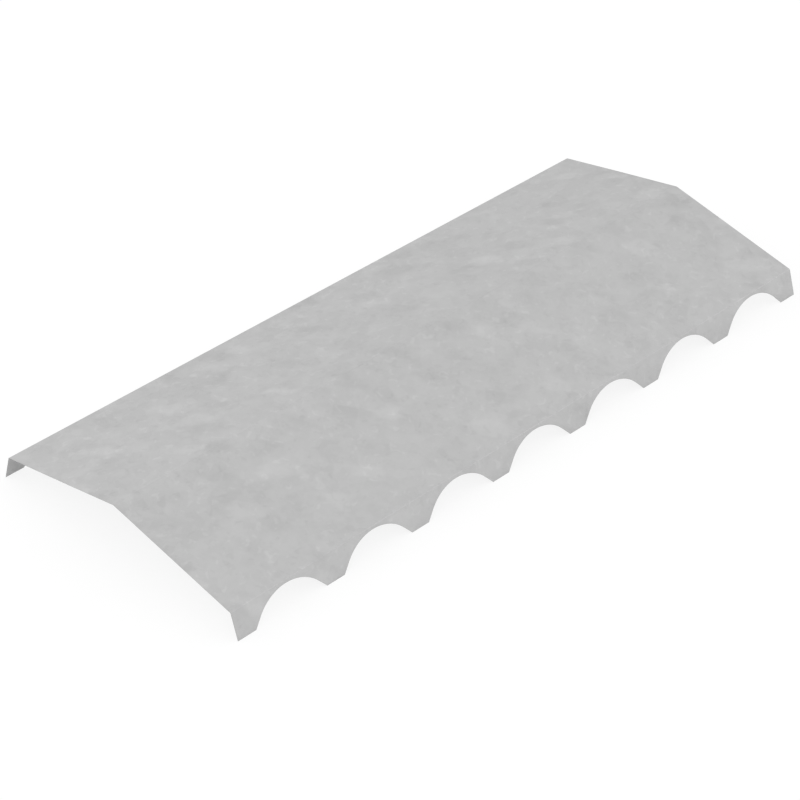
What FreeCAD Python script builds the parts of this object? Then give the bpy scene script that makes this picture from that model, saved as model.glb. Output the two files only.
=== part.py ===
"""Roof ridge cap for wave-pattern roof sheets: one piece of galvanised steel sheet.

The sheet is folded once along the ridge and once more along each long side, so that a flange turns
down at the foot of both slopes. Scallops punched out of the flanges straddle the waves of the roof
sheets, and the teeth between them reach into the valleys.

X runs along the ridge, Y across it and Z up. The origin is under the ridge, half way along, level
with the lowest corners of the teeth, on which the cap stands. Sizes are in millimetres and degrees.
"""

import FreeCAD
import Part
import Sketcher
import math
import os

NODE = "ridge_cap"

# Driving dimensions. Lengths of the section run along the outer face, between its sharp corners.
SIZES = [
    ("wave_pitch", "146", "one wave of the roof sheet, crest to crest"),
    ("wave_count", "7", "waves that one cap spans"),
    ("tooth_width", "29", "flat foot of a tooth, and the lap of two caps end to end"),
    ("crown_land", "4.5", "strip of flange left between a scallop's crown and the fold"),
    ("flank_angle", "49", "a scallop's straight flank, measured from the flange's edge"),
    ("slope_length", "216.5", "ridge to fold"),
    ("slope_angle", "11.5", "fall of a slope from level"),
    ("flange_length", "39", "fold to the teeth's feet"),
    ("flange_lean", "17", "outward lean of a flange from upright"),
    ("sheet_thickness", "0.5", "steel with its zinc coat"),
    ("bend_radius", "1.5", "inside radius of the ridge and the folds"),
    ("punch_overrun", "2", "travel of the scallop punch past the sheet's faces and edge"),
]

CAP_LENGTH = "sizes.wave_count * sizes.wave_pitch + sizes.tooth_width"
SCALLOP_CHORD = "sizes.wave_pitch - sizes.tooth_width"
SCALLOP_DEPTH = "sizes.flange_length - sizes.crown_land"
# Corner of the flange's outer face and foot, across from the ridge and up from the floor.
FOOT_ACROSS = "sizes.slope_length * cos(sizes.slope_angle) + sizes.flange_length * sin(sizes.flange_lean)"
FOOT_UP = "sizes.sheet_thickness * sin(sizes.flange_lean)"

# A sketch numbers the places on a curve upwards from 0 and its own axes downwards from -1, in this order.
CURVE_PLACES = ["whole", "start", "end", "centre"]
SKETCH_AXES = ["level axis", "upright axis"]


def make_sheet(doc):
    """Spreadsheet of the driving dimensions, one row each: alias, value, meaning."""
    sheet = doc.addObject("Spreadsheet::Sheet", "sizes")
    for row, (alias, value, meaning) in enumerate(SIZES, start=1):
        sheet.set(f"A{row}", alias)
        sheet.set(f"B{row}", value)
        sheet.set(f"C{row}", meaning)
        sheet.setAlias(f"B{row}", alias)
    doc.recompute()
    return sheet


def origin_feature(body, role):
    """A plane or axis of the body's own origin."""
    return next(f for f in body.Origin.OriginFeatures if f.Role == role)


def new_sketch(body, name, plane):
    """Sketch on one of the body's origin planes."""
    sketch = body.newObject("Sketcher::SketchObject", name)
    sketch.AttachmentSupport = [(origin_feature(body, plane), "")]
    sketch.MapMode = "FlatFace"
    return sketch


def add_line(sketch, start, end, construction=False):
    return sketch.addGeometry(Part.LineSegment(start, end), construction)


def constrain(sketch, *definition):
    """Constraint of a sketch, with its places and axes given by name."""
    numbers = {place: count for count, place in enumerate(CURVE_PLACES)}
    numbers.update({axis: -1 - count for count, axis in enumerate(SKETCH_AXES)})
    numbered = [numbers.get(item, item) for item in definition]
    return sketch.addConstraint(Sketcher.Constraint(*numbered))


def dimension(sketch, name, expression, *definition):
    """Named dimension of a sketch, driven by an expression on the spreadsheet."""
    index = constrain(sketch, *definition)
    sketch.renameConstraint(index, name)
    sketch.setExpression(f"Constraints.{name}", expression)


def downhill(angle):
    """Direction that runs out from the ridge (+x) and falls by an angle from level."""
    return FreeCAD.Vector(math.cos(math.radians(angle)), -math.sin(math.radians(angle)), 0)


def inward(direction):
    """Unit step from the outer face to the inner face of a stretch that runs downhill."""
    return FreeCAD.Vector(direction.y, -direction.x, 0)


def mirrored(point):
    return FreeCAD.Vector(-point.x, point.y, 0)


def section_corners(sheet):
    """Sharp corners of the section, outer and inner face, each from the left foot to the right foot."""
    slope = downhill(sheet.slope_angle)
    flange = downhill(90 - sheet.flange_lean)
    slope_in = inward(slope)
    flange_in = inward(flange)
    thickness = sheet.sheet_thickness

    def inset(first, second):
        """From an outer corner to the inner one, where two stretches with these inward steps meet."""
        return (first + second) * (thickness / (1 + first.dot(second)))

    run = slope * sheet.slope_length + flange * sheet.flange_length + flange_in * thickness
    ridge = FreeCAD.Vector(0, -run.y, 0)
    fold = ridge + slope * sheet.slope_length
    foot = fold + flange * sheet.flange_length
    outer = [mirrored(foot), mirrored(fold), ridge, fold, foot]
    inner_fold = fold + inset(slope_in, flange_in)
    inner_foot = foot + flange_in * thickness
    inner_ridge = ridge + inset(slope_in, mirrored(slope_in))
    inner = [mirrored(inner_foot), mirrored(inner_fold), inner_ridge, inner_fold, inner_foot]
    return outer, inner


def draw_section(body, sheet, outer, inner):
    """The sheet's section across the ridge: a closed outline, the same on both sides of the ridge."""
    sketch = new_sketch(body, "Section", "YZ_Plane")
    outline = outer + inner[::-1]
    lines = [add_line(sketch, p, q) for p, q in zip(outline, outline[1:] + outline[:1])]
    (left_flange, left_slope, right_slope, right_flange, _right_foot, inner_right_flange,
     inner_right_slope, inner_left_slope, inner_left_flange, left_foot) = lines
    for line, following in zip(lines, lines[1:] + lines[:1]):
        constrain(sketch, "Coincident", line, "end", following, "start")

    for left, right in (
        ((left_flange, "start"), (right_flange, "end")),
        ((left_slope, "start"), (right_slope, "end")),
        ((inner_left_slope, "end"), (inner_right_slope, "start")),
        ((inner_left_flange, "end"), (inner_right_flange, "start")),
    ):
        constrain(sketch, "Symmetric", *left, *right, "upright axis")
    constrain(sketch, "PointOnObject", right_slope, "start", "upright axis")
    constrain(sketch, "PointOnObject", inner_left_slope, "start", "upright axis")
    constrain(sketch, "PointOnObject", inner_left_flange, "end", "level axis")
    constrain(sketch, "Parallel", inner_left_slope, left_slope)
    constrain(sketch, "Parallel", inner_left_flange, left_flange)
    constrain(sketch, "Perpendicular", left_foot, left_flange)

    thickness = sheet.sheet_thickness
    fall = math.radians(sheet.slope_angle)
    lean = math.radians(90 - sheet.flange_lean)
    dimension(sketch, "slope", "sizes.slope_length", "Distance", left_slope, sheet.slope_length)
    dimension(sketch, "flange", "sizes.flange_length", "Distance", left_flange, sheet.flange_length)
    dimension(sketch, "flange_wall", "sizes.sheet_thickness", "Distance", left_foot, thickness)
    dimension(sketch, "slope_wall", "sizes.sheet_thickness",
              "Distance", inner_left_slope, "end", left_slope, thickness)
    dimension(sketch, "fall", "sizes.slope_angle * 1 deg", "Angle", left_slope, fall)
    dimension(sketch, "lean", "90 deg - sizes.flange_lean * 1 deg", "Angle", left_flange, lean)
    return sketch


def extrude_section(body, section):
    """The folded sheet at its full length, half of it on each side of the origin."""
    pad = body.newObject("PartDesign::Pad", "FoldedSheet")
    pad.Profile = section
    pad.SideType = "Symmetric"
    pad.setExpression("Length", CAP_LENGTH)
    return pad


def edges_along(shape, corners):
    """Names of the lengthwise edges that pass through these corners of the section."""
    names = []
    for corner in corners:
        point = FreeCAD.Vector(0, corner.x, corner.y)
        distances = [edge.distToShape(Part.Vertex(point))[0] for edge in shape.Edges]
        names.append(f"Edge{distances.index(min(distances)) + 1}")
    return names


def round_bends(body, doc, name, base, corners, radius):
    """Round bends in place of the sharp corners on one face of the sheet."""
    fillet = body.newObject("PartDesign::Fillet", name)
    fillet.Base = (base, edges_along(base.Shape, corners))
    fillet.setExpression("Radius", radius)
    doc.recompute()
    return fillet


def draw_scallop(body, sheet):
    """One scallop, drawn flat on the front flange's outer face: a round crown between straight flanks.

    The sketch's level axis is the flange's edge, and its origin is the middle of the first scallop.
    """
    sketch = new_sketch(body, "Scallop", "XZ_Plane")
    sketch.setExpression("AttachmentOffset.Base.x", "-(sizes.wave_count - 1) * sizes.wave_pitch / 2")
    sketch.setExpression("AttachmentOffset.Base.y", FOOT_UP)
    sketch.setExpression("AttachmentOffset.Base.z", FOOT_ACROSS)
    sketch.AttachmentOffset = FreeCAD.Placement(
        FreeCAD.Vector(), FreeCAD.Rotation(FreeCAD.Vector(1, 0, 0), -sheet.flange_lean))
    sketch.setExpression("AttachmentOffset.Rotation.Angle", "-sizes.flange_lean * 1 deg")

    half_chord = (sheet.wave_pitch - sheet.tooth_width) / 2
    depth = sheet.flange_length - sheet.crown_land
    flank = math.radians(sheet.flank_angle)
    radius = (half_chord - depth / math.tan(flank)) / math.tan(flank / 2)
    centre = FreeCAD.Vector(0, depth - radius, 0)
    shoulder = centre + FreeCAD.Vector(radius * math.sin(flank), radius * math.cos(flank), 0)
    below = FreeCAD.Vector(half_chord + sheet.punch_overrun / math.tan(flank), -sheet.punch_overrun, 0)
    foot = FreeCAD.Vector(half_chord, 0, 0)

    left_flank = add_line(sketch, mirrored(below), mirrored(shoulder))
    right_flank = add_line(sketch, shoulder, below)
    mouth = add_line(sketch, below, mirrored(below))
    circle = Part.Circle(centre, FreeCAD.Vector(0, 0, 1), radius)
    quarter = math.pi / 2
    crown = sketch.addGeometry(Part.ArcOfCircle(circle, quarter - flank, quarter + flank), False)
    chord = add_line(sketch, mirrored(foot), foot, construction=True)
    above = FreeCAD.Vector(half_chord, depth, 0)
    crown_line = add_line(sketch, mirrored(above), above, construction=True)

    constrain(sketch, "Tangent", left_flank, "end", crown, "end")
    constrain(sketch, "Tangent", right_flank, "start", crown, "start")
    constrain(sketch, "Coincident", right_flank, "end", mouth, "start")
    constrain(sketch, "Coincident", mouth, "end", left_flank, "start")
    constrain(sketch, "Symmetric", chord, "start", chord, "end", "upright axis")
    constrain(sketch, "PointOnObject", chord, "start", "level axis")
    constrain(sketch, "PointOnObject", chord, "start", left_flank)
    constrain(sketch, "PointOnObject", chord, "end", right_flank)
    constrain(sketch, "PointOnObject", crown, "centre", "upright axis")
    constrain(sketch, "Horizontal", mouth)
    constrain(sketch, "Symmetric", crown_line, "start", crown_line, "end", "upright axis")
    constrain(sketch, "Equal", crown_line, chord)
    constrain(sketch, "Tangent", crown_line, crown)
    dimension(sketch, "chord", SCALLOP_CHORD, "Distance", chord, 2 * half_chord)
    dimension(sketch, "depth", SCALLOP_DEPTH,
              "DistanceY", "level axis", "start", crown_line, "start", depth)
    dimension(sketch, "flank", "sizes.flank_angle * 1 deg", "Angle", left_flank, flank)
    dimension(sketch, "overrun", "sizes.punch_overrun",
              "DistanceY", mouth, "start", "level axis", "start", sheet.punch_overrun)
    return sketch


def punch_scallops(body, scallop):
    """The scallop punched through the front flange, then repeated along both flanges."""
    punch = body.newObject("PartDesign::Pocket", "ScallopPunch")
    punch.Profile = scallop
    punch.SideType = "Symmetric"
    punch.setExpression("Length", "2 * (sizes.sheet_thickness + sizes.punch_overrun)")

    rows = body.newObject("PartDesign::MultiTransform", "ScallopRows")
    rows.Originals = [punch]
    along = body.newObject("PartDesign::LinearPattern", "AlongFlange")
    along.Direction = (origin_feature(body, "X_Axis"), [""])
    along.Mode = "Spacing"
    along.setExpression("Offset", "sizes.wave_pitch")
    along.setExpression("Occurrences", "sizes.wave_count")
    across = body.newObject("PartDesign::Mirrored", "OtherFlange")
    across.MirrorPlane = (origin_feature(body, "XZ_Plane"), [""])
    rows.Transformations = [along, across]
    body.Tip = rows


def check(doc, body, unpunched):
    """Stops if a feature failed, the cap isn't one valid closed solid, or the punch cut nothing."""
    for obj in doc.Objects:
        if "Invalid" in obj.State or "Error" in obj.State:
            raise RuntimeError(f"{obj.Label} failed: {obj.State}")
    shape = body.Shape
    if shape.isNull() or not shape.isValid() or len(shape.Solids) != 1:
        raise RuntimeError("the cap isn't one valid solid")
    if shape.Volume >= unpunched.Shape.Volume:
        raise RuntimeError("the scallops weren't cut")


doc = FreeCAD.newDocument("RoofRidgeCap")
sheet = make_sheet(doc)
outer_corners, inner_corners = section_corners(sheet)

cap = doc.addObject("PartDesign::Body", "RidgeCap")
cap.Label = NODE
section = draw_section(cap, sheet, outer_corners, inner_corners)
folded = extrude_section(cap, section)
doc.recompute()
outer_bends = round_bends(cap, doc, "OuterBends", folded, outer_corners[1:-1],
                          "sizes.bend_radius + sizes.sheet_thickness")
inner_bends = round_bends(cap, doc, "InnerBends", outer_bends, inner_corners[1:-1], "sizes.bend_radius")
scallop = draw_scallop(cap, sheet)
punch_scallops(cap, scallop)
doc.recompute()
check(doc, cap, unpunched=inner_bends)

os.makedirs("parts", exist_ok=True)
cap.Shape.exportStep(f"parts/{NODE}.step")
box = cap.Shape.BoundBox
print(f"{NODE}: {box.XLength:.1f} x {box.YLength:.1f} x {box.ZLength:.1f} mm, {cap.Shape.Volume:.0f} mm3")
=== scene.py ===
"""Roof ridge cap of galvanised steel sheet, on the white floor of a plain, evenly lit studio."""

import math

import bpy
import numpy as np
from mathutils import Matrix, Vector


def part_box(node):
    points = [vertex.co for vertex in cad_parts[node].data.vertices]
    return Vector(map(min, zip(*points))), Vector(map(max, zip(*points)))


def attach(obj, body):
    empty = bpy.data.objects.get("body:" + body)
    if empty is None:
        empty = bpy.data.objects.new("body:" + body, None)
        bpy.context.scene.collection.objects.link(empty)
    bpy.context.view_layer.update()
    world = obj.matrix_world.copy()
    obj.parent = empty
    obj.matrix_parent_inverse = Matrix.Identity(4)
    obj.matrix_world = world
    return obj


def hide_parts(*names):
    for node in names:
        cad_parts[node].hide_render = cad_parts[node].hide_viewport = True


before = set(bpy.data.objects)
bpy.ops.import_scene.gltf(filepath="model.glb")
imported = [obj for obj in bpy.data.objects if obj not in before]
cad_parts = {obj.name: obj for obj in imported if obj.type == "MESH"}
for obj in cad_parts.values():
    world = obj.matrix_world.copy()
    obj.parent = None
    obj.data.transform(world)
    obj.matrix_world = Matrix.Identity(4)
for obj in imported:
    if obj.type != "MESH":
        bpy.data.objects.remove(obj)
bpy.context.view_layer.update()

# The cap. One rectangle of galvanised steel is punched with a row of scallops along both long sides, then
# folded along the ridge and along the flanges. The teeth between the scallops reach down into the valleys
# of the roof sheets. It is held by screws through its plain slopes, which are driven on the roof.
wave_count = 7
tooth_width = 0.029
crown_land = 0.0045
flank_angle = math.radians(49)
slope_angle = math.radians(11.5)
flange_length = 0.039
flange_lean = math.radians(17)
sheet_thickness = 0.0005
bend_radius = 0.0015
buckle_height = 0.0002
long_buckle = 0.43
short_buckle = 0.19

cap_low, cap_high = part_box("ridge_cap")
cap_length = cap_high.x - cap_low.x
wave_pitch = (cap_length - tooth_width) / wave_count
outer_radius = bend_radius + sheet_thickness
flange_angle = math.pi / 2 - flange_lean
fold_setback = outer_radius * math.tan((flange_angle - slope_angle) / 2)
ridge_setback = outer_radius * math.tan(slope_angle)
slope_length = (cap_high.y - flange_length * math.sin(flange_lean)) / math.cos(slope_angle)
slope_flat = slope_length - ridge_setback - fold_setback
flange_flat = flange_length - fold_setback
slope_fall = slope_flat * math.sin(slope_angle)
flange_fall = flange_flat * math.sin(flange_angle)
ridge_centre = cap_low.z + flange_fall + slope_fall - bend_radius * math.cos(flange_angle)

scallop_depth = flange_length - crown_land
half_chord = (wave_pitch - tooth_width) / 2
crown_radius = (half_chord - scallop_depth / math.tan(flank_angle)) / math.tan(flank_angle / 2)
shoulder = crown_radius * math.sin(flank_angle)

crown_columns = 33
straight_columns = 4
ridge_rows = 4
slope_rows = 24
fold_rows = 10
flange_rows = 9
bend_margin = 0.0004
crease_angle = math.radians(30)


def scallop_height(x):
    """Height of the flange's edge above the feet of the teeth, at places along the cap.

    A circle over the crown as far as the shoulders, then a straight flank that touches it and runs down to
    the foot, and nothing along the foot of a tooth.
    """
    wave = np.clip(np.round(x / wave_pitch), -(wave_count // 2), wave_count // 2)
    off_middle = np.abs(x - wave * wave_pitch)
    crown = scallop_depth - crown_radius + np.sqrt(np.maximum(crown_radius**2 - off_middle**2, 0))
    flank = np.maximum(half_chord - off_middle, 0) * math.tan(flank_angle)
    return np.where(off_middle < shoulder, crown, flank)


def columns_along():
    """Places along the cap for the grid's columns, close together round a crown, one at each corner."""
    crown = crown_radius * np.sin(np.linspace(-flank_angle, flank_angle, crown_columns))
    flank = np.linspace(shoulder, half_chord, straight_columns)
    foot = np.linspace(half_chord, wave_pitch / 2, straight_columns)
    one_wave = np.concatenate([crown, flank, -flank, foot, -foot])
    middles = wave_pitch * (np.arange(wave_count) - (wave_count - 1) / 2)
    end_foot = np.linspace(wave_count * wave_pitch / 2, cap_length / 2, straight_columns)
    places = np.concatenate([np.add.outer(middles, one_wave).ravel(), end_foot, -end_foot])
    return np.unique(np.round(places, 7))


def rows_down():
    """Rows from the ridge to the foot: way down the slope, share of the flange, turn and strain.

    The turn is the angle of the sheet's outward normal from upright, which grows round a bend and stays as
    it is along a flat. A row close to each bend keeps the flats flat. The strain is 1 round a bend.
    """
    ridge = np.linspace(0, slope_angle, ridge_rows)
    slope = np.linspace(0, slope_flat, slope_rows)
    slope[[0, -1]] = bend_margin, slope_flat - bend_margin
    fold = np.linspace(slope_angle, flange_angle, fold_rows)
    flange = np.linspace(0, 1, flange_rows)
    flange[0] = bend_margin / flange_flat
    stretches = [(0, 0, ridge, 1), (slope, 0, slope_angle, 0),
                 (slope_flat, 0, fold, 1), (slope_flat, flange, flange_angle, 0)]
    rows = [np.stack(np.broadcast_arrays(*stretch)) for stretch in stretches]
    return np.concatenate(rows, axis=1)[:, :, None]


along = columns_along()
way, share, turn, strain = rows_down()
to_edge = flange_flat - scallop_height(along)
down_flange = share * to_edge


def slope_buckle(side):
    """How far the sheet of one slope stands out of flat.

    A long and a short wave along the cap, placed differently on each side, under a hump that dies out at
    both bends.
    """
    hump = np.sin(np.pi * way / slope_flat) ** 2
    long_wave = np.sin(2 * np.pi * along / long_buckle + side)
    short_wave = np.sin(2 * np.pi * along / short_buckle + 2 * side + 2 * way / slope_flat)
    return buckle_height * hump * (long_wave + short_wave / 2)


def half_face(radius, side):
    """One half of a face of the folded sheet: rows from the ridge to the foot, columns along the cap.

    The centres of the bends lie on a broken line, which falls from the ridge at the slope's angle and then
    at the flange's angle as far as the scalloped edge. The face stands off that line, along the sheet's
    normal, by the bend's radius on that face and by the slope's buckle.
    """
    stand_off = radius + slope_buckle(side)
    out = way * math.cos(slope_angle) + down_flange * math.cos(flange_angle) + stand_off * np.sin(turn)
    fall = way * math.sin(slope_angle) + down_flange * math.sin(flange_angle) - stand_off * np.cos(turn)
    return np.stack(np.broadcast_arrays(along, side * out, ridge_centre - fall), axis=-1)


def half_blank(side):
    """Where the points of a half lay in the flat sheet: along it, and out from the line of the ridge.

    The way out is the way down the slope and the flange, and round the bends in the sheet's middle plane.
    """
    out = way + (bend_radius + sheet_thickness / 2) * turn + down_flange
    return np.stack(np.broadcast_arrays(along, side * out, 0.0), axis=-1)


def whole(back, front):
    """The rows of both halves, from the back foot over the ridge to the front foot."""
    return np.concatenate([back[:0:-1], front])


def quads(a, b, c, d):
    """Four-sided faces from four arrays of points of one shape, one face for each place in them."""
    return np.stack([a, b, c, d], axis=-1).reshape(-1, 4)


def sheet_quads(rows, columns):
    """Faces of the closed sheet: the outer grid and the inner one turned over, then the cut edge."""
    outer = np.arange(rows * columns).reshape(rows, columns)
    inner = outer + rows * columns
    top = quads(outer[:-1, :-1], outer[1:, :-1], outer[1:, 1:], outer[:-1, 1:])
    under = quads(inner[:-1, :-1], inner[:-1, 1:], inner[1:, 1:], inner[1:, :-1])
    sides = [(outer[0], inner[0]), (outer[:, -1], inner[:, -1]),
             (outer[-1, ::-1], inner[-1, ::-1]), (outer[::-1, 0], inner[::-1, 0])]
    edges = [quads(out[:-1], out[1:], within[1:], within[:-1]) for out, within in sides]
    return np.concatenate([top, under]), np.concatenate(edges)


faces = [whole(half_face(radius, 1), half_face(radius, -1)) for radius in (outer_radius, bend_radius)]
skin, cut = sheet_quads(*faces[0].shape[:2])
cap_mesh = bpy.data.meshes.new("galvanised_cap")
cap_mesh.from_pydata(np.concatenate(faces).reshape(-1, 3), [], np.concatenate([skin, cut]))
cap_mesh.polygons.foreach_set("use_smooth", np.ones(len(cap_mesh.polygons), bool))
cap_mesh.set_sharp_from_angle(angle=crease_angle)
cap = bpy.data.objects.new("galvanised_cap", cap_mesh)
bpy.context.scene.collection.objects.link(cap)


def mark_points(name, half):
    """Keeps a number for each point of a half as an attribute, the same on both halves and both faces."""
    marks = cap_mesh.attributes.new(name, "FLOAT", "POINT")
    marks.data.foreach_set("value", np.tile(whole(half, half).ravel(), 2))


# The under face takes another stretch of the flat sheet's pattern, so that the two faces differ.
under_shift = (3.0, 5.0, 0.3)
blank = cap_mesh.attributes.new("blank", "FLOAT_VECTOR", "POINT")
blank_place = whole(half_blank(1), half_blank(-1))
blank.data.foreach_set("vector", np.stack([blank_place, blank_place + under_shift]).ravel())
to_foot = slope_flat - way + to_edge - down_flange
mark_points("edge_gap", np.minimum(to_foot, cap_length / 2 - np.abs(along)))
mark_points("bend_strain", np.broadcast_to(strain, to_foot.shape))
cut_edge = cap_mesh.attributes.new("cut_edge", "FLOAT", "FACE")
cut_edge.data.foreach_set("value", np.repeat([0.0, 1.0], [len(skin), len(cut)]))


class Tone:
    """A socket of a node tree. Arithmetic on tones adds Math nodes, and node() adds any other node."""

    def __init__(self, socket):
        self.socket = socket
        self.tree = socket.id_data

    def node(self, kind, settings, inputs, output=0):
        """One output of a new node. Its settings are set first, then its inputs get links or values."""
        made = self.tree.nodes.new("ShaderNode" + kind)
        for name, value in settings.items():
            setattr(made, name, value)
        for name, value in inputs.items():
            if isinstance(value, Tone):
                self.tree.links.new(value.socket, made.inputs[name])
            else:
                made.inputs[name].default_value = value
        return Tone(made.outputs[output])

    def math(self, operation, first, second=0.0):
        """The result of a Math node on one or two tones or numbers."""
        return self.node("Math", {"operation": operation}, {0: first, 1: second})

    def __add__(self, other):
        return self.math("ADD", self, other)

    def __sub__(self, other):
        return self.math("SUBTRACT", self, other)

    def __rsub__(self, other):
        return self.math("SUBTRACT", other, self)

    def __mul__(self, other):
        return self.math("MULTIPLY", self, other)

    __radd__ = __add__
    __rmul__ = __mul__

    def step(self, low, high):
        """0 below low, 1 above high, and an S-shaped rise between them."""
        return self.node("MapRange", {"interpolation_type": "SMOOTHSTEP"},
                         {"Value": self, "From Min": low, "From Max": high})

    def feed(self, socket):
        """Links this tone to an input of a shader."""
        self.tree.links.new(self.socket, socket)


# The zinc coat of the sheet. It froze in flat crystals, each of its own grey, with fine ribs inside it.
# Damp and handling have since left a haze and pale and dull patches, wiped aslant, with short strokes and
# scratches. The pattern lies on the sheet as it was before it was punched and folded.
zinc_grey = 0.53
zinc_roughness = 0.5
grazing_tint = 0.82
bare_steel_grey = 0.44
large_crystal = 0.03
small_crystal = 0.011
crystal_raggedness = 0.6
rib_spacing = 0.0024
rib_wander = 0.004
wipe_angle = math.radians(-45)
wipe_stretch = 1.3
broad_haze_size = 0.05
fine_haze_size = 0.025
broad_haze_share = 0.24
drift_size = 0.2
patch_radius = 0.022
patch_raggedness = 2.2
patch_blend = 0.3
faintest_patch = 0.4
pale_spacing = 0.095
dull_spacing = 0.085
stroke_size = 0.012
stroke_start = 0.14
stroke_full = 0.2
scratch_width = 0.0012
scratch_stretch = 60
rubbed_width = 0.003
coat_relief = 0.0002
relief_strength = 0.25

zinc = bpy.data.materials.new("galvanised_zinc")
zinc.use_nodes = True
zinc_shader = zinc.node_tree.nodes["Principled BSDF"]
coat = Tone(zinc_shader.outputs["BSDF"])
place = coat.node("Attribute", {"attribute_name": "blank"}, {}, "Vector")
# A pattern that is read at the wiped place comes out longer along the wipe and narrower across it.
wipe = {"Rotation": (0, 0, wipe_angle), "Scale": (wipe_stretch, 1 / wipe_stretch, 1)}
wiped = coat.node("Mapping", {"vector_type": "TEXTURE"}, {"Vector": place, **wipe})
rubbed = 1 - coat.node("Attribute", {"attribute_name": "edge_gap"}, {}, "Fac").step(0, rubbed_width)
bent = coat.node("Attribute", {"attribute_name": "bend_strain"}, {}, "Fac")
sheared = coat.node("Attribute", {"attribute_name": "cut_edge"}, {}, "Fac")


def cloud(size, shift, detail=1.0, roughness=0.5, curl=0.0, stretch=1.0, start=place):
    """Noise about 0 with blotches about as large as size, curled up, or drawn out along the sheet.

    It is read at the start, which is the place on the sheet or the wiped place. The shift takes it from
    another stretch of the noise.
    """
    scaled = place.node("VectorMath", {"operation": "MULTIPLY_ADD"},
                        {0: start, 1: (1 / (size * stretch), 1 / size, 1 / size), 2: [shift] * 3})
    inputs = {"Vector": scaled, "Scale": 1.0, "Detail": detail, "Roughness": roughness, "Distortion": curl}
    return place.node("TexNoise", {}, inputs, "Fac") - 0.5


def wandering(size, reach, start=place):
    """The start, moved by noise with waves about as large as size, up to the reach."""
    noise = place.node("TexNoise", {}, {"Vector": start, "Scale": 1 / size, "Detail": 3.0}, "Color")
    return place.node("VectorMath", {"operation": "MULTIPLY_ADD"}, {0: noise, 1: [reach] * 3, 2: start})


def crystals(size):
    """Two random numbers from 0 to 1 for each crystal: the cells about random seeds, with ragged edges."""
    seeds = {"Vector": wandering(1.7 * size, crystal_raggedness * size), "Scale": 1 / size}
    cell = place.node("TexVoronoi", {}, seeds, "Color")
    return [place.node("SeparateColor", {}, {"Color": cell}, channel) for channel in ("Red", "Green")]


def patches(spacing, shift):
    """Soft ragged wiped spots round random seeds about the spacing apart, each of its own strength."""
    ragged = wandering(1.4 * patch_radius, patch_raggedness * patch_radius, wiped)
    moved = place.node("VectorMath", {"operation": "ADD"}, {0: ragged, 1: [shift] * 3})
    seeds = {"Vector": moved, "Scale": 1 / spacing, "Smoothness": patch_blend}
    merging = {"voronoi_dimensions": "2D", "feature": "SMOOTH_F1"}
    away = place.node("TexVoronoi", merging, seeds, "Distance") * spacing
    cell = place.node("TexVoronoi", merging, seeds, "Color")
    random = place.node("SeparateColor", {}, {"Color": cell}, "Red")
    strength = faintest_patch + (1 - faintest_patch) * random
    return strength * (1 - away.step(0.4 * patch_radius, 1.1 * patch_radius))


def ribs(lean):
    """Slightly uneven waves from -1 to 1 across each crystal, whose random number turns them."""
    x = place.node("SeparateXYZ", {}, {"Vector": place}, "X")
    y = place.node("SeparateXYZ", {}, {"Vector": place}, "Y")
    angle = 2 * math.pi * lean
    across = x * place.math("COSINE", angle) + y * place.math("SINE", angle)
    uneven = across + rib_wander * cloud(small_crystal, 0.7, detail=2)
    return place.math("SINE", uneven * (2 * math.pi / rib_spacing))


large, large_lean = crystals(large_crystal)
small, small_lean = crystals(small_crystal)
drift = cloud(drift_size, 1.9)
broad_haze = cloud(broad_haze_size, 0.0, detail=0, start=wiped)
fine_haze = cloud(fine_haze_size, 0.0, detail=3, roughness=0.9)
haze = broad_haze_share * broad_haze + (1 - broad_haze_share) * fine_haze
pale_patch = patches(pale_spacing, 5.5)
dull_patch = patches(dull_spacing, 2.8)
dark_crystal = 1 - large.step(0.1, 0.16)
stroke = cloud(stroke_size, 3.1, curl=0.8)
light_stroke = stroke.step(stroke_start, stroke_full)
dark_stroke = (0 - stroke).step(stroke_start, stroke_full)
scratch = cloud(scratch_width, 2.6, stretch=scratch_stretch).step(0.22, 0.27)

zinc_tone = (1 + 0.03 * drift + 0.226 * haze + 0.05 * (large - 0.5) + 0.065 * (small - 0.5)
             + 0.064 * pale_patch - 0.053 * dull_patch - 0.015 * dark_crystal
             + 0.052 * light_stroke - 0.038 * dark_stroke + 0.012 * ribs(small_lean) - 0.03 * rubbed)
base_grey = zinc_grey * zinc_tone * (1 - sheared) + bare_steel_grey * sheared
base_grey.feed(zinc_shader.inputs["Base Color"])
roughness = (zinc_roughness + 0.1 * (large - 0.5) + 0.08 * (small - 0.5) + 0.2 * haze
             - 0.04 * scratch + 0.06 * bent - 0.08 * sheared)
roughness.feed(zinc_shader.inputs["Roughness"])
relief = 0.6 * haze + 0.3 * small + 0.1 * ribs(large_lean)
bump = coat.node("Bump", {}, {"Strength": relief_strength, "Distance": coat_relief, "Height": relief})
bump.feed(zinc_shader.inputs["Normal"])
zinc_shader.inputs["Metallic"].default_value = 1.0
zinc_shader.inputs["Specular Tint"].default_value = (grazing_tint, grazing_tint, grazing_tint, 1)
cap_mesh.materials.append(zinc)

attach(cap, "root")
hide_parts("ridge_cap")

# The studio. A white floor without a seam, in white light from all round, a little more of it from behind,
# and four softboxes. What the camera sees of the floor is mostly its own white, with a faint shadow. From
# below the floor is clear.
floor_half = 40.0
floor_paint_grey = 0.96
floor_glow = 0.85
mirrored_glow = 0.38
back_light = 0.05
softbox_side = 2.2

floor_corners = floor_half * np.array([(-1, -1, 0), (1, -1, 0), (1, 1, 0), (-1, 1, 0)])
floor_mesh = bpy.data.meshes.new("studio_floor")
floor_mesh.from_pydata(floor_corners, [], [(0, 1, 2, 3)])
floor = bpy.data.objects.new("studio_floor", floor_mesh)
bpy.context.scene.collection.objects.link(floor)

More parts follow.
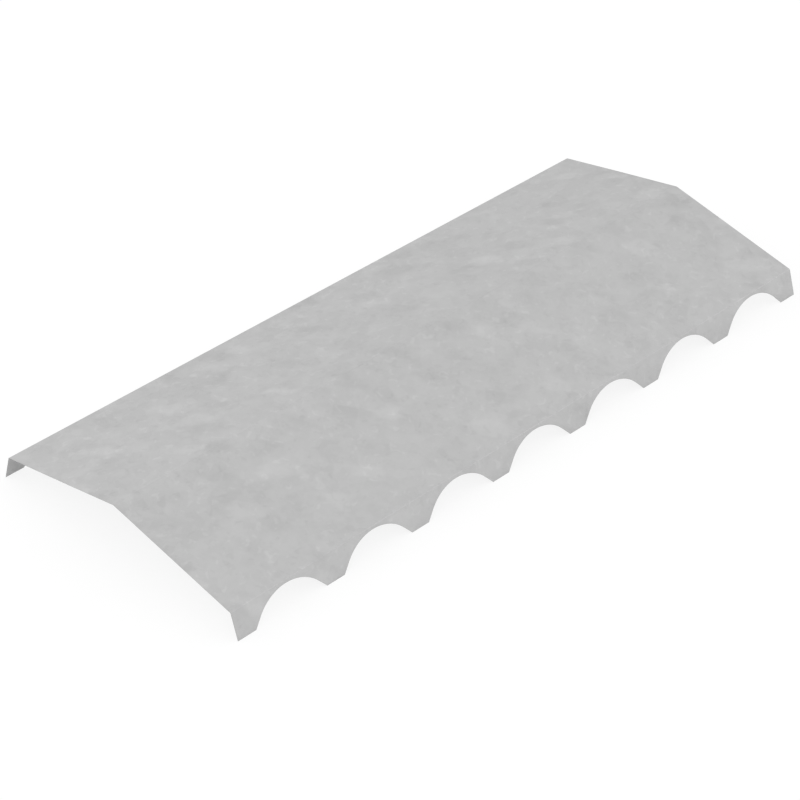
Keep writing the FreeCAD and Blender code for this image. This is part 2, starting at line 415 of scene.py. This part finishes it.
floor_white = bpy.data.materials.new("floor_white")
floor_white.use_nodes = True
floor_white.cycles.emission_sampling = "NONE"
floor_nodes = floor_white.node_tree.nodes
floor_shader = floor_nodes["Principled BSDF"]
floor_shader.inputs["Base Color"].default_value = (floor_paint_grey, floor_paint_grey, floor_paint_grey, 1)
floor_shader.inputs["Roughness"].default_value = 1.0
floor_shader.inputs["Specular IOR Level"].default_value = 0.0
paint = Tone(floor_shader.outputs["BSDF"])
seen = paint.node("LightPath", {}, {}, "Is Camera Ray")
mirrored = (paint.node("LightPath", {}, {}, "Is Glossy Ray")
            + paint.node("LightPath", {}, {}, "Is Transmission Ray"))
white = paint.node("Emission", {}, {"Color": (1, 1, 1, 1), "Strength": 1.0})
glow = floor_glow * seen + mirrored_glow * mirrored
from_above = paint.node("MixShader", {}, {0: glow, 1: paint, 2: white})
below = paint.node("NewGeometry", {}, {}, "Backfacing")
clear = paint.node("BsdfTransparent", {}, {})
surface = paint.node("MixShader", {}, {0: below, 1: from_above, 2: clear})
surface.feed(floor_nodes["Material Output"].inputs["Surface"])
floor_mesh.materials.append(floor_white)

world = bpy.data.worlds.new("white_studio")
world.use_nodes = True
sky_shader = world.node_tree.nodes["Background"]
sky = Tone(sky_shader.outputs["Background"])
direction = sky.node("TexCoord", {}, {}, "Generated")
behind = sky.node("SeparateXYZ", {}, {"Vector": direction}, "Y")
lights_cap = 1 - sky.node("LightPath", {}, {}, "Is Camera Ray")
sky_level = 1 + back_light * behind * lights_cap
sky_level.feed(sky_shader.inputs["Strength"])
sky_shader.inputs["Color"].default_value = (1, 1, 1, 1)
bpy.context.scene.world = world


def softbox(name, stand, watts):
    """A square lamp at a stand, turned to face the cap."""
    lamp = bpy.data.lights.new(name, "AREA")
    lamp.size = softbox_side
    lamp.energy = watts
    holder = bpy.data.objects.new(name, lamp)
    bpy.context.scene.collection.objects.link(holder)
    holder.location = stand
    holder.rotation_mode = "QUATERNION"
    holder.rotation_quaternion = (-Vector(stand)).to_track_quat("-Z", "Y")


softbox("key_softbox", (-2.6, -3.1, 3.0), 20.0)
softbox("left_softbox", (-3.1, 2.6, 3.0), 12.0)
softbox("right_softbox", (3.1, -2.6, 3.0), 12.0)
softbox("back_softbox", (-1.35, 3.8, 1.95), 16.0)

# The camera. It looks down along the cap from the front left, through a long lens.
camera_azimuth = math.radians(-44.63)
camera_elevation = math.radians(36.15)
camera_place = (-2.0595, -2.0509, 2.0923)
camera_lens = 119.6

camera_data = bpy.data.cameras.new("camera")
camera_data.lens = camera_lens
camera = bpy.data.objects.new("camera", camera_data)
bpy.context.scene.collection.objects.link(camera)
camera_back = Vector((math.sin(camera_azimuth) * math.cos(camera_elevation),
                      -math.cos(camera_azimuth) * math.cos(camera_elevation),
                      math.sin(camera_elevation)))
camera.location = camera_place
camera.rotation_mode = "QUATERNION"
camera.rotation_quaternion = (-camera_back).to_track_quat("-Z", "Y")
bpy.context.scene.camera = camera
bpy.context.scene.view_settings.view_transform = "Standard"
